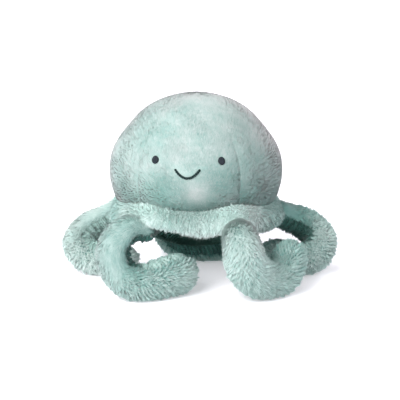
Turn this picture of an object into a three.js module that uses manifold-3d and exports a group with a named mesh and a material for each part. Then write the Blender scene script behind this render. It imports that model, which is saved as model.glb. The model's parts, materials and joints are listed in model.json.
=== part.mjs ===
// A long-pile plush sea creature, like an octopus with a dome head and five arms.
// The head is sewn from five gores and closed below by a dish, a padded skirt runs
// round its lower edge, and each stuffed arm arches out, curls under and rests on
// the floor. Millimetres, +Z up, the face looks along -Y.
import * as THREE from 'three';
import { mergeVertices } from 'three/addons/utils/BufferGeometryUtils.js';
import Module from 'manifold-3d';

const wasm = await Module();
wasm.setup();

// Head: five equal gores on a slightly flattened ball
const goreCount = 5;
const headRadius = 90;
const headHalfHeight = 79;
const headCentreHeight = 115;
const crownOpening = 3.5;
const neckPolar = 131;
const seamGap = 0.7;
const seamDip = 1.6;

// Cloth with its pile, and the stuffing behind it
const headPile = 8;
const limbPile = 6;
const stuffingGap = 2.5;

// Skirt: a padded band against the lower head, fullest towards its hem, that rises into
// a rounder hood over the root of each front arm
const skirtTopPolar = 108;
const skirtHemPolar = 131.5;
const skirtHemTilt = 2;
const skirtBulge = 15.5;
const skirtFullness = 1.4;
const hoodTopPolar = 105;
const hoodBulge = 20;
const hoodFullness = 0.85;
const hoodSpread = 16;
const hoodHemLift = 5;
const skirtEdge = 1.5;
const skirtGap = 0.9;

// Face: embroidered eyes and a stitched smile
const eyeAzimuth = 23.1;
const eyeHeight = 139.4;
const eyeWidth = 7;
const eyeTall = 8;
const eyeDome = 2.4;
const mouthHalfAngle = 8.4;
const mouthEndHeight = 132;
const mouthLowHeight = 123;
const mouthThread = 1.8;
const stitchDepth = 1;
const stitchGap = 0.4;

// Arms: a root drawn in at its seam, then an even limb that runs out to a round tip of its own width
const rootRadius = 15;
const limbRadius = 19;
const swellShare = 0.4;
const tipShare = 0.4;
const innerHalfAngle = 62;
const armSeamAngle = 5;
const gathers = 9;
const gatherDepth = 2.2;
const innerSink = 1;
const capLeans = [80, 42];

// Each arm turns at its root seam from hanging to raised, and the skirt leaves room for it
const lowestSwing = -12;
const highestSwing = 35;
const swingSteps = 2;
const swingGap = 1.4;
const socketRows = 3;

// Facets: rows and columns of cloth, and segments round the turned and round pieces
const goreColumnShares = [-1, -0.8, -0.4, 0, 0.4, 0.8, 1];
const goreRows = 10;
const dishRows = 4;
const dishSegments = 20;
const skirtRows = 5;
const skirtSegments = 30;
const armRows = 2 * gathers;
const outerColumns = 6;
const innerColumns = 2;
const headFillingSides = 16;
const headFillingRows = 10;
const armFillingRows = 8;
const armFillingSides = 6;
const roomSides = 6;
const threadSides = 6;
const mouthStitches = 8;
const eyeSides = 12;

// Each arm's root, by its reach from the head's axis and its height, and where its centre line
// runs from there. The gathered side faces the middle of the curl, or the place named
const frontRoot = { reach: 91.5, height: 67 };
const sideRoot = { reach: 88, height: 62 };
const arms = [
  {
    name: 'front_left_arm',
    azimuth: -29,
    root: frontRoot,
    tipRadius: 22.5,
    hooded: true,
    gatheredTowards: [-38, -62, 34],
    route: [[-59, -91, 69], [-69, -96, 58], [-71, -98, 42], [-64, -98, 27], [-47, -95, 18.5],
      [-29, -86, 20.5], [-14, -71, 21.5]],
  },
  {
    name: 'front_right_arm',
    azimuth: 32,
    root: frontRoot,
    tipRadius: 17.5,
    hooded: true,
    gatheredTowards: [70, -44, 26],
    route: [[53, -97, 66.5], [57.5, -106.5, 53], [61, -101, 38], [71, -85, 23], [84, -68, 16],
      [95, -58, 23], [98, -51, 34]],
  },
  {
    name: 'right_arm',
    azimuth: 106,
    root: sideRoot,
    tipRadius: 19,
    route: [[98, 38, 53], [114, 42, 45], [128, 32, 33], [124, 18, 22], [106, 12, 17.6],
      [85, 24, 19.5]],
  },
  {
    name: 'rear_arm',
    azimuth: 180,
    root: sideRoot,
    tipRadius: 19,
    gatheredTowards: [0, 0, 40],
    route: [[-12, 106, 57], [-28, 110, 46], [-38, 100, 33], [-34, 80, 22], [-18, 64, 17.6],
      [4, 58, 18], [22, 60, 18.6]],
  },
  {
    name: 'left_arm',
    azimuth: -106,
    root: sideRoot,
    tipRadius: 19,
    gatheredTowards: [-100, -6, 30],
    route: [[-100, 24, 51], [-116, 18, 42], [-124, 5, 30], [-114, -6, 20.5], [-96, -8, 17.6],
      [-80, -4, 19]],
  },
];

// Colours from the pale mint cloth, the dark thread and white stuffing
const plushCloth = new THREE.MeshStandardMaterial({ color: 0xb4d6cf, roughness: 0.95, metalness: 0 });
const gatheredCloth = new THREE.MeshStandardMaterial({ color: 0x86b3ab, roughness: 0.95, metalness: 0 });
const eyeThread = new THREE.MeshStandardMaterial({ color: 0x39424c, roughness: 0.5, metalness: 0 });
const mouthYarn = new THREE.MeshStandardMaterial({ color: 0x1f3a38, roughness: 0.7, metalness: 0 });
const stuffing = new THREE.MeshStandardMaterial({ color: 0xf2f2ee, roughness: 1, metalness: 0 });

const radians = THREE.MathUtils.degToRad;
const toy = new THREE.Group();

function addPiece(name, geometry, material) {
  geometry.computeVertexNormals();
  const mesh = new THREE.Mesh(geometry, material);
  mesh.name = name;
  toy.add(mesh);
}

// A closed surface whose faces point out, whichever way its points were laid
function closedGeometry(points, triangles) {
  let volume = 0;
  for (let i = 0; i < triangles.length; i += 3) {
    const [a, b, c] = [points[triangles[i]], points[triangles[i + 1]], points[triangles[i + 2]]];
    volume += a.dot(b.clone().cross(c));
  }
  const outwards = volume > 0 ? triangles : [...triangles].reverse();
  const geometry = new THREE.BufferGeometry().setFromPoints(points);
  geometry.setIndex(outwards);
  return geometry;
}

// A sheet of cloth with thickness: an outer and an inner surface over one grid, and its edges
function sheetGeometry(columns, rows, outerAt, innerAt) {
  const points = [];
  for (const surfaceAt of [outerAt, innerAt]) {
    for (let row = 0; row <= rows; row += 1) {
      for (let column = 0; column <= columns; column += 1) {
        points.push(surfaceAt(column, row));
      }
    }
  }
  const stride = columns + 1;
  const layer = stride * (rows + 1);
  const triangles = [];
  const quad = (a, b, c, d) => triangles.push(a, b, c, a, c, d);
  for (let row = 0; row < rows; row += 1) {
    for (let column = 0; column < columns; column += 1) {
      const corner = row * stride + column;
      quad(corner, corner + 1, corner + stride + 1, corner + stride);
      const under = corner + layer;
      quad(under, under + stride, under + stride + 1, under + 1);
    }
  }
  const last = rows * stride;
  for (let column = 0; column < columns; column += 1) {
    quad(column, column + layer, column + layer + 1, column + 1);
    quad(last + column + 1, last + column + layer + 1, last + column + layer, last + column);
  }
  for (let corner = 0; corner < last; corner += stride) {
    quad(corner + stride, corner + stride + layer, corner + layer, corner);
    const right = corner + columns;
    quad(right, right + layer, right + stride + layer, right + stride);
  }
  return closedGeometry(points, triangles);
}

// A closed tube through rings of points, with a flat fan over each end
function tubeGeometry(rings) {
  const sides = rings[0].length;
  const points = rings.flat();
  const triangles = [];
  for (let ring = 0; ring < rings.length - 1; ring += 1) {
    for (let side = 0; side < sides; side += 1) {
      const a = ring * sides + side;
      const b = ring * sides + (side + 1) % sides;
      triangles.push(a, b, b + sides, a, b + sides, a + sides);
    }
  }
  const last = (rings.length - 1) * sides;
  for (let side = 1; side < sides - 1; side += 1) {
    triangles.push(0, side + 1, side);
    triangles.push(last, last + side, last + side + 1);
  }
  return closedGeometry(points, triangles);
}

// A closed band whose last ring of points meets its first
function ringGeometry(rings) {
  const sides = rings[0].length;
  const points = rings.flat();
  const triangles = [];
  rings.forEach((_, ring) => {
    const here = ring * sides;
    const next = ((ring + 1) % rings.length) * sides;
    for (let side = 0; side < sides; side += 1) {
      const after = (side + 1) % sides;
      triangles.push(here + side, here + after, next + after, here + side, next + after, next + side);
    }
  });
  return closedGeometry(points, triangles);
}

// The same surface with its shared points merged and its collapsed triangles dropped
function welded(geometry) {
  const bare = geometry.clone();
  bare.deleteAttribute('normal');
  bare.deleteAttribute('uv');
  const merged = mergeVertices(bare, 1e-4);
  const place = merged.attributes.position;
  const pointAt = (_, i) => new THREE.Vector3().fromBufferAttribute(place, i);
  const points = Array.from({ length: place.count }, pointAt);
  const triangles = [];
  for (let i = 0; i < merged.index.count; i += 3) {
    const [a, b, c] = merged.index.array.slice(i, i + 3);
    if (a !== b && b !== c && c !== a) triangles.push(a, b, c);
  }
  return closedGeometry(points, triangles);
}

function toSolid(geometry) {
  const closed = welded(geometry);
  return new wasm.Manifold(new wasm.Mesh({
    numProp: 3,
    vertProperties: new Float32Array(closed.attributes.position.array),
    triVerts: new Uint32Array(closed.index.array),
  }));
}

function toGeometry(solid) {
  const mesh = solid.getMesh();
  const geometry = new THREE.BufferGeometry();
  geometry.setAttribute('position', new THREE.BufferAttribute(mesh.vertProperties, 3));
  geometry.setIndex(new THREE.BufferAttribute(mesh.triVerts, 1));
  return geometry;
}

// Level direction for an azimuth, where 0 is the face and 90 is +X
const outward = (azimuth) => new THREE.Vector3(Math.sin(azimuth), -Math.cos(azimuth), 0);

// A point of the head, at an angle down from the crown, sunk below its surface by inset
function headPoint(azimuth, polar, inset) {
  const point = outward(azimuth).multiplyScalar((headRadius - inset) * Math.sin(polar));
  point.z = headCentreHeight + (headHalfHeight - inset) * Math.cos(polar);
  return point;
}

const polarAtHeight = (height) => Math.acos((height - headCentreHeight) / headHalfHeight);

// A gore narrows to the crown, keeps an even seam gap and is drawn in at both seams
function goreGeometry(centreAzimuth) {
  const crownPolar = Math.asin(crownOpening / headRadius);
  const surface = (inset, dip) => (column, row) => {
    const polar = THREE.MathUtils.lerp(crownPolar, radians(neckPolar), row / goreRows);
    const halfAngle = Math.PI / goreCount - seamGap / 2 / (headRadius * Math.sin(polar));
    const share = goreColumnShares[column];
    return headPoint(centreAzimuth + share * halfAngle, polar, inset + dip * Math.abs(share) ** 8);
  };
  return sheetGeometry(goreColumnShares.length - 1, goreRows, surface(0, seamDip), surface(headPile, 0));
}

// A profile of the head's own curve, sunk or raised, turned about the upright axis
function turnedGeometry(profile, segments) {
  const flat = profile.map(([polar, inset]) => {
    const point = headPoint(Math.PI / 2, polar, inset);
    return new THREE.Vector2(Math.max(point.x, 0), point.z);
  });
  return welded(new THREE.LatheGeometry(flat, segments).rotateX(Math.PI / 2));
}

const shares = (steps) => Array.from({ length: steps + 1 }, (_, i) => i / steps);

// The dish that closes the head below the neck seam
function baseDishGeometry() {
  const rim = radians(neckPolar) + seamGap / headRadius;
  const polars = shares(dishRows).map((share) => THREE.MathUtils.lerp(Math.PI, rim, share));
  const outer = polars.map((polar) => [polar, 0]);
  const inner = polars.toReversed().map((polar) => [polar, headPile]);
  return turnedGeometry([...outer, ...inner], dishSegments);
}

// How much of a hood the skirt has at an azimuth, from 0 between the arms to 1 over a front arm
function hoodShare(azimuth) {
  const degrees = THREE.MathUtils.radToDeg(azimuth);
  const share = arms.filter((arm) => arm.hooded).reduce((sum, arm) => {
    const away = THREE.MathUtils.euclideanModulo(degrees - arm.azimuth + 180, 360) - 180;
    return sum + Math.exp(-((away / hoodSpread) ** 2));
  }, 0);
  return Math.min(share, 1);
}

// The skirt follows the head inside and swells outside as a skewed sine, ring by ring round the head
function skirtGeometry() {
  const { lerp } = THREE.MathUtils;
  const ringAt = (turn) => {
    const azimuth = turn * 2 * Math.PI;
    const hood = hoodShare(azimuth);
    const top = lerp(skirtTopPolar, hoodTopPolar, hood);
    const hem = skirtHemPolar - skirtHemTilt * Math.cos(azimuth) - hoodHemLift * hood;
    const bulge = lerp(skirtBulge, hoodBulge, hood);
    const fullness = lerp(skirtFullness, hoodFullness, hood);
    const pointAt = (share, offset) => headPoint(azimuth, radians(lerp(top, hem, share)), -offset);
    const swell = (share) => skirtGap + skirtEdge + bulge * Math.sin(Math.PI * share ** fullness);
    const outer = shares(skirtRows).map((share) => pointAt(share, swell(share)));
    const inner = shares(skirtRows - 1).map((share) => pointAt(1 - share, skirtGap));
    return [...outer, ...inner];
  };
  return ringGeometry(shares(skirtSegments).slice(0, skirtSegments).map(ringAt));
}

// An arm's centre line, and the middle of its curl, which its gathered side faces
function armFrame(arm) {
  const root = outward(radians(arm.azimuth)).multiplyScalar(arm.root.reach).setZ(arm.root.height);
  const line = [root, ...arm.route.map((place) => new THREE.Vector3(...place))];
  const middle = new THREE.Vector3();
  line.forEach((place) => middle.addScaledVector(place, 1 / line.length));
  const curlCentre = arm.gatheredTowards ? new THREE.Vector3(...arm.gatheredTowards) : middle;
  return { root, curlCentre, tipRadius: arm.tipRadius, curve: new THREE.CatmullRomCurve3(line) };
}

// Stations along an arm: its round root, its length and its round tip
const bodyStations = (rows) => shares(rows).map((along) => ({ along, lean: 0 }));

function armStations(rows) {
  const leans = capLeans.map(radians);
  const rootCap = leans.map((lean) => ({ along: 0, lean: -lean }));
  const body = bodyStations(rows);
  const tipCap = leans.toReversed().map((lean) => ({ along: 1, lean }));
  return [...rootCap, ...body, ...tipCap];
}

// A point of an arm's surface, turned from its gathered side and sunk by inset
function armPoint(frame, station, turn, inset) {
  const point = frame.curve.getPointAt(station.along);
  const tangent = frame.curve.getTangentAt(station.along);
  const inner = frame.curlCentre.clone().sub(point);
  inner.addScaledVector(tangent, -inner.dot(tangent)).normalize();
  const side = tangent.clone().cross(inner);
  const swell = (limbRadius - rootRadius) * THREE.MathUtils.smoothstep(station.along, 0, swellShare);
  const widening = (frame.tipRadius - limbRadius) * THREE.MathUtils.smoothstep(station.along, tipShare, 1);
  const radius = rootRadius + swell + widening - inset;
  const across = radius * Math.cos(station.lean);
  point.addScaledVector(tangent, radius * Math.sin(station.lean));
  point.addScaledVector(inner, across * Math.cos(turn));
  return point.addScaledVector(side, across * Math.sin(turn));
}

// A strip of an arm's cloth between two turns round the arm
function armStripGeometry(frame, turns, outerInset, innerInset) {
  const stations = armStations(armRows);
  const surface = (insetAt) => (column, row) => {
    const station = stations[row];
    return armPoint(frame, station, turns[column], insetAt(station));
  };
  return sheetGeometry(turns.length - 1, stations.length - 1, surface(outerInset), surface(innerInset));
}

// A round tube through some of an arm's stations, inside its surface or outside it
function armTubeGeometry(frame, stations, sides, inset) {
  const turns = shares(sides).slice(0, sides).map((share) => share * 2 * Math.PI);
  const ringAt = (station) => turns.map((turn) => armPoint(frame, station, turn, inset));
  return tubeGeometry(stations.map(ringAt));
}

// The room an arm's root needs as it turns about its level hinge: a ball, and the limb as it swings
function armRoom(frame, azimuth) {
  const clearance = limbRadius / Math.cos(Math.PI / roomSides) - limbRadius + swingGap;
  const hinge = outward(radians(azimuth + 90)).negate();
  const stations = bodyStations(gathers).slice(0, socketRows + 1);
  const limbs = shares(swingSteps).map((share) => {
    const swing = radians(THREE.MathUtils.lerp(lowestSwing, highestSwing, share));
    const limb = armTubeGeometry(frame, stations, roomSides, -clearance);
    limb.translate(...frame.root.clone().negate());
    limb.applyMatrix4(new THREE.Matrix4().makeRotationAxis(hinge, swing));
    return limb.translate(...frame.root);
  });
  const ball = new THREE.SphereGeometry(rootRadius + 2 * swingGap, 2 * roomSides, roomSides);
  ball.translate(...frame.root);
  return [ball, ...limbs].map(toSolid);
}

// A thread along points on the face, round in section
function threadGeometry(line, radius) {
  const centre = new THREE.Vector3(0, 0, headCentreHeight);
  const turns = shares(threadSides).slice(0, threadSides).map((share) => share * 2 * Math.PI);
  const rings = line.map((point, i) => {
    const before = line[Math.max(i - 1, 0)];
    const after = line[Math.min(i + 1, line.length - 1)];
    const tangent = after.clone().sub(before).normalize();
    const side = point.clone().sub(centre).cross(tangent).normalize();
    const up = tangent.clone().cross(side);
    return turns.map((turn) => point.clone()
      .addScaledVector(side, radius * Math.cos(turn))
      .addScaledVector(up, radius * Math.sin(turn)));
  });
  return tubeGeometry(rings);
}

// An eye's place on the face: its centre, and the turn that lays it on the head
function eyeMatrix(azimuth) {
  const centre = headPoint(azimuth, polarAtHeight(eyeHeight), stitchDepth);
  const normal = centre.clone().setZ(centre.z - headCentreHeight);
  normal.divide(new THREE.Vector3(headRadius ** 2, headRadius ** 2, headHalfHeight ** 2)).normalize();
  const turn = new THREE.Quaternion().setFromUnitVectors(new THREE.Vector3(0, -1, 0), normal);
  return new THREE.Matrix4().compose(centre, turn, new THREE.Vector3(1, 1, 1));
}

function eyeGeometry(azimuth) {
  const dome = new THREE.SphereGeometry(1, eyeSides, eyeSides / 2);
  dome.scale(eyeWidth / 2, eyeDome / 2, eyeTall / 2);
  return welded(dome.applyMatrix4(eyeMatrix(azimuth)));
}

// The hollow that the eye's stitches pull into the pile
function eyeHollow(azimuth) {
  const depth = 2 * (headPile - stitchDepth);
  const hollow = new THREE.CylinderGeometry(1, 1, depth, eyeSides);
  hollow.scale(eyeWidth / 2 + stitchGap, 1, eyeTall / 2 + stitchGap);
  hollow.translate(0, eyeDome / 2 + stitchGap - depth / 2, 0);
  return toSolid(hollow.applyMatrix4(eyeMatrix(azimuth)));
}

// Face
const mouthLine = shares(mouthStitches).map((share) => {
  const across = 2 * share - 1;
  const height = THREE.MathUtils.lerp(mouthLowHeight, mouthEndHeight, across ** 2);
  return headPoint(radians(across * mouthHalfAngle), polarAtHeight(height), stitchDepth);
});
const mouthGroove = toSolid(threadGeometry(mouthLine, mouthThread / 2 + stitchGap));
const eyeAzimuths = { eye_left: -radians(eyeAzimuth), eye_right: radians(eyeAzimuth) };
let face = toSolid(goreGeometry(0)).subtract(mouthGroove);
for (const [name, azimuth] of Object.entries(eyeAzimuths)) {
  face = face.subtract(eyeHollow(azimuth));
  addPiece(name, eyeGeometry(azimuth), eyeThread);
}
addPiece('mouth_stitch', threadGeometry(mouthLine, mouthThread / 2), mouthYarn);

// Head
const plainPanels = ['right_head', 'right_rear_head', 'left_rear_head', 'left_head'];
addPiece('face_panel', toGeometry(face), plushCloth);
plainPanels.forEach((name, i) => {
  addPiece(`${name}_panel`, goreGeometry((i + 1) * 2 * Math.PI / goreCount), plushCloth);
});
addPiece('base_panel', baseDishGeometry(), plushCloth);
const stuffingInset = headPile + stuffingGap;
const headStuffing = new THREE.SphereGeometry(1, headFillingSides, headFillingRows);
headStuffing.rotateX(Math.PI / 2);
headStuffing.scale(headRadius - stuffingInset, headRadius - stuffingInset, headHalfHeight - stuffingInset);
addPiece('head_filling', welded(headStuffing.translate(0, 0, headCentreHeight)), stuffing);

// Arms, flat where they rest on the floor
const floorWidth = 4 * headRadius;
const floorDepth = 40;
const floorBox = new THREE.BoxGeometry(floorWidth, floorWidth, floorDepth);
const floorSlab = toSolid(floorBox.translate(0, 0, -floorDepth / 2));
const innerTurn = radians(innerHalfAngle);
const outerTurn = radians(innerHalfAngle + armSeamAngle);
const turnsBetween = (first, last, columns) => shares(columns)
  .map((share) => THREE.MathUtils.lerp(first, last, share));
const innerTurns = turnsBetween(-innerTurn, innerTurn, innerColumns);
const outerTurns = turnsBetween(outerTurn, 2 * Math.PI - outerTurn, outerColumns);
const gatherWave = (along) => (1 - Math.cos(2 * Math.PI * gathers * along)) / 2;
const gatherInset = ({ along }) => innerSink + gatherDepth * gatherWave(along);
const armStuffingInset = limbPile + innerSink + stuffingGap;
let skirt = toSolid(skirtGeometry());
for (const arm of arms) {
  const frame = armFrame(arm);
  const outer = armStripGeometry(frame, outerTurns, () => 0, () => limbPile);
  const inner = armStripGeometry(frame, innerTurns, gatherInset, () => limbPile + innerSink);
  const filling = armTubeGeometry(frame, armStations(armFillingRows), armFillingSides, armStuffingInset);
  addPiece(`${arm.name}_outer`, toGeometry(toSolid(outer).subtract(floorSlab)), plushCloth);
  addPiece(`${arm.name}_inner`, inner, gatheredCloth);
  addPiece(`${arm.name}_filling`, filling, stuffing);
  for (const room of armRoom(frame, arm.azimuth)) skirt = skirt.subtract(room);
}
addPiece('skirt', toGeometry(skirt), plushCloth);

// The origin is on the floor below the middle of the whole toy
const reach = new THREE.Box3().setFromObject(toy).getCenter(new THREE.Vector3());
toy.position.set(-reach.x, -reach.y, 0);

export default toy;
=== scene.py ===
import json

import bpy
import numpy as np
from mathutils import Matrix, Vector


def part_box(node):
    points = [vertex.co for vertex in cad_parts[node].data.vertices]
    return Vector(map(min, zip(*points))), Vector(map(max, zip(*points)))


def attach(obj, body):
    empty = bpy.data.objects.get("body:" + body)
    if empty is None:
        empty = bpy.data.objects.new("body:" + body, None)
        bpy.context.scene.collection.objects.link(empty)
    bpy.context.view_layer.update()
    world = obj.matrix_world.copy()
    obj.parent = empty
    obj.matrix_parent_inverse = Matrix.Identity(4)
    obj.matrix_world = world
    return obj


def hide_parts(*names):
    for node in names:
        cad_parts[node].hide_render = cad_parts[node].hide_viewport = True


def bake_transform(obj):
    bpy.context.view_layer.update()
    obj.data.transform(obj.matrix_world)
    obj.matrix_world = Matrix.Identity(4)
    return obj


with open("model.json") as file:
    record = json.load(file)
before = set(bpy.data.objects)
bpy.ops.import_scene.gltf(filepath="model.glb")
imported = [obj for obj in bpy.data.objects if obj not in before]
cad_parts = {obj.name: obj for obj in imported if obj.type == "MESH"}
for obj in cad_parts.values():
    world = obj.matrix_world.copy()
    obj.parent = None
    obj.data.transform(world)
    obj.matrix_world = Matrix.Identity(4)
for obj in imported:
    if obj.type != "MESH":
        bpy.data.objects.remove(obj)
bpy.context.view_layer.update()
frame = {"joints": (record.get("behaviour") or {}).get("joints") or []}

mm = 0.001
golden = (5 ** 0.5 - 1) / 2
bakeMap = "OFBake"
slopeStep = 1e-3               # of u or v, to either side


def middleOf(corners):
    return sum((np.array(corner) for corner in corners), np.zeros(3)) / 2


# the head's middle, from the stuffing that fills it
headCentre = middleOf(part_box("head_filling"))
print("frame loaded, head centre at", np.round(headCentre / mm, 1), "mm")


def unit(vectors):
    return vectors / np.maximum(np.linalg.norm(vectors, axis=-1, keepdims=True), 1e-12)


def smoothStep(low, high, values):
    share = np.clip((values - low) / (high - low), 0, 1)
    return share * share * (3 - 2 * share)


def mixed(low, high, share):
    return low + (high - low) * share


def turned(first, second, angle):
    # the first of two square directions, turned by an angle towards the second
    return first * np.cos(angle)[..., None] + second * np.sin(angle)[..., None]


def softNoise(places, wavelength, seed, waves=6):
    # plane waves in seeded directions, near the wavelength given, added up to about -1..1
    rng = np.random.default_rng(seed)
    directions = unit(rng.normal(size=(waves, 3))) * rng.uniform(0.7, 1.5, (waves, 1))
    phases = rng.uniform(0, 2 * np.pi, waves)
    return np.sin(2 * np.pi / wavelength * (places @ directions.T) + phases).sum(-1) / (waves / 2)


def gridOver(first, second):
    # every pair of the two lists' values, the first list's changing fastest
    return (axis.ravel() for axis in np.meshgrid(first, second))


def alongLine(vectors, share):
    # the vector at a share of the way along a row of evenly spaced ones
    steps = np.linspace(0, 1, len(vectors))
    return np.stack([np.interp(share, steps, axis) for axis in vectors.T], -1)


def fullTurn(u):
    return 2 * np.pi * u


# Camera at the photograph's angle, and a pale studio


studio = {
    "azimuth": 5.5,            # degrees round from the face
    "elevation": 13,
    "distance": 1.5,
    "aim": headCentre + np.array([4.2, 0, -34]) * mm,
    "lens": 129,
    "floorRadius": 4.0,
    "floorRings": 24,
    "floorColumns": 64,
    "floorWall": 2.2,          # where the floor starts to curve up behind
    "floorColour": (244, 243, 247),
    "floorRoughness": 0.8,
    "skyLight": 0.29,
    "skyTint": (1.0, 0.94, 0.98),
    "floorGlow": 0.34,         # lifts the floor's shadows as in the photograph
    "glowTint": (1, 0.98, 1),
    "lights": [
        {"name": "keyLight", "place": (-0.85, -2.0, 1.6), "size": 1.6, "power": 80},
        {"name": "topLight", "place": (-0.9, 0.2, 2.2), "size": 1.6, "power": 34},
    ],
}


def viewDirection(azimuth, elevation):
    a, e = np.radians((azimuth, elevation))
    return np.array([np.sin(a) * np.cos(e), -np.cos(a) * np.cos(e), np.sin(e)])


def aimAt(obj, place, target):
    obj.location = Vector(place)
    obj.rotation_euler = (Vector(target) - Vector(place)).to_track_quat("-Z", "Y").to_euler()
    bpy.context.scene.collection.objects.link(obj)


def makeStudio(spec):
    camera = bpy.data.objects.new("camera", bpy.data.cameras.new("camera"))
    camera.data.lens = spec["lens"]
    camera.data.sensor_width = 36
    camera.data.sensor_fit = "HORIZONTAL"
    camera.data.clip_end = 20
    eye = spec["aim"] + spec["distance"] * viewDirection(spec["azimuth"], spec["elevation"])
    aimAt(camera, eye, spec["aim"])
    bpy.context.scene.camera = camera
    for light in spec["lights"]:
        lamp = bpy.data.lights.new(light["name"], "AREA")
        lamp.shape = "DISK"
        lamp.size = light["size"]
        lamp.energy = light["power"]
        aimAt(bpy.data.objects.new(light["name"], lamp), light["place"], spec["aim"])
    world = bpy.data.worlds.new("studioSky")
    world.use_nodes = True
    sky = world.node_tree.nodes["Background"]
    sky.inputs["Color"].default_value = (*spec["skyTint"], 1)
    sky.inputs["Strength"].default_value = spec["skyLight"]
    bpy.context.scene.world = world
    bpy.context.scene.view_settings.view_transform = "Standard"


makeStudio(studio)
print("camera and lights placed")


# Mesh making: parts with points, faces and map places go into one mesh


def gridFaces(columns, rows, closed=False):
    # quads between neighbouring points of a grid that runs row by row, and each corner's place on 0..1
    stride = columns if closed else columns + 1
    column, row = gridOver(np.arange(columns), np.arange(rows))
    cornerColumns = np.stack([column, column + 1, column + 1, column], 1)
    cornerRows = np.stack([row, row, row + 1, row + 1], 1)
    faces = cornerRows * stride + cornerColumns % stride
    shares = np.stack([cornerColumns / columns, cornerRows / rows], -1)
    return faces, shares


def clothShell(surface, columns, rows, thickness, closed=False, toneAt=None):
    # a sheet with thickness: its outer face, the same grid sunk along the normal, and quads round its edges
    u = np.linspace(0, 1, columns + 1)[: columns if closed else None]
    v = np.linspace(0, 1, rows + 1)
    uGrid, vGrid = gridOver(u, v)
    outer, normal, _ = surfaceFrame(surface, uGrid, vGrid)
    inner = outer - thickness * normal
    faces, shares = gridFaces(columns, rows, closed)
    count = len(outer)
    stride = len(u)
    last = rows * stride
    loop = np.arange(columns)
    after = (loop + 1) % stride
    rims = [np.stack([after, loop, loop + count, after + count], 1),
            np.stack([last + loop, last + after, last + after + count, last + loop + count], 1)]
    if not closed:
        first = np.arange(rows) * stride
        rims.append(np.stack([first, first + stride, first + stride + count, first + count], 1))
        right = first + columns
        rims.append(np.stack([right + stride, right, right + count, right + stride + count], 1))
    rim = np.concatenate(rims)
    gridPlaces = np.stack([uGrid, vGrid], 1)
    rimPlaces = np.concatenate([gridPlaces, gridPlaces])[rim]
    allFaces = np.concatenate([faces, faces[:, ::-1] + count, rim])
    allPlaces = np.concatenate([shares, shares[:, ::-1], rimPlaces])
    tone = np.zeros(count) if toneAt is None else toneAt(uGrid, vGrid)
    return {"points": np.concatenate([outer, inner]), "normals": np.concatenate([normal, -normal]),
            "faces": [allFaces], "places": [onMap(allPlaces, "skin")], "slot": 0,
            "tone": np.concatenate([tone, tone])}


mapBands = {                   # where a band of the map starts, and how tall it is
    "skin": (0.01, 0.2),
    "pile": (0.24, 0.73),
    "whole": (0.02, 0.96),     # also across, for every band
}


def onMap(places, band):
    # places on 0..1, moved into a band of the map
    left, wide = mapBands["whole"]
    low, tall = mapBands[band]
    return np.stack([left + wide * places[..., 0], low + tall * places[..., 1]], -1)


def surfaceSteps(surface, u, v):
    # how far the point moves as u grows, and as v grows, from one small step before it to one after
    across = surface(u + slopeStep, v) - surface(u - slopeStep, v)
    along = surface(u, v + slopeStep) - surface(u, v - slopeStep)
    return across, along


def surfaceFrame(surface, u, v):
    # the point, the outward normal and the direction of growing v
    across, along = surfaceSteps(surface, u, v)
    return surface(u, v), unit(np.cross(across, along)), unit(along)


def buildPiece(name, parts, materials):
    firsts = np.cumsum([0] + [len(part["points"]) for part in parts])
    corners, places, sizes, slots = [], [], [], []
    for part, first in zip(parts, firsts):
        for faces, faceplaces in zip(part["faces"], part["places"]):
            corners.append((faces + first).ravel())
            places.append(faceplaces.reshape(-1, 2))
            sizes.append(np.full(len(faces), faces.shape[1]))
            slots.append(np.full(len(faces), part["slot"]))
    corners, places, sizes, slots = (np.concatenate(rows) for rows in (corners, places, sizes, slots))
    points = np.concatenate([part["points"] for part in parts])
    mesh = bpy.data.meshes.new(name)
    mesh.vertices.add(len(points))
    mesh.vertices.foreach_set("co", points.astype(np.float32).ravel())
    mesh.loops.add(len(corners))
    mesh.loops.foreach_set("vertex_index", corners.astype(np.int32))
    mesh.polygons.add(len(sizes))
    mesh.polygons.foreach_set("loop_start", (np.cumsum(sizes) - sizes).astype(np.int32))
    mesh.polygons.foreach_set("material_index", slots.astype(np.int32))
    mesh.polygons.foreach_set("use_smooth", np.ones(len(sizes), bool))
    mesh.update(calc_edges=True)
    mesh.uv_layers.new(name=bakeMap).uv.foreach_set("vector", places.astype(np.float32).ravel())
    tone = mesh.attributes.new("tone", "FLOAT", "POINT")
    tone.data.foreach_set("value", np.concatenate([part["tone"] for part in parts]).astype(np.float32))
    mesh.normals_split_custom_set_from_vertices(np.concatenate([part["normals"] for part in parts]))
    for material in materials:
        mesh.materials.append(material)
    obj = bpy.data.objects.new(name, mesh)
    bpy.context.scene.collection.objects.link(obj)
    return obj


# Pile: tufts spread evenly over a surface, each a bundle of tapered fibres that lean along the nap


fibre = {
    "sunk": 0.3 * mm,          # the root starts this far inside the cloth
    "stubble": 0.4 * mm,       # a tuft cut shorter than this isn't grown
    "waist": 0.8,              # width half-way up, as a share of the root's
    "pullLow": 0.4,            # how much of a tuft's pull is below the middle
    "pullHigh": 0.6,
    "leastPuff": 0.5,          # share of the puff that a tuft keeps when it isn't drawn together
    "tipped": 0.1,             # a blade faces back a little from where it leans
    "lifted": 0.15,            # and its normals turn a little along it
    "widths": (0.7, 1.3),
    "floorSpread": (0.2, 2),
    "toneSpread": 0.5,
    "rise": (-1.6, -1.6, -0.2, -0.2, 0.8),  # painted shade at the root and painted light at the tip: tone at the corners, from root to tip
    "rounding": (0.6, 0.6, 0.4, 0.4, 0),  # how far a clump's roundness turns the corners' normals
    "mapReach": 0.0016,
}


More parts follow.
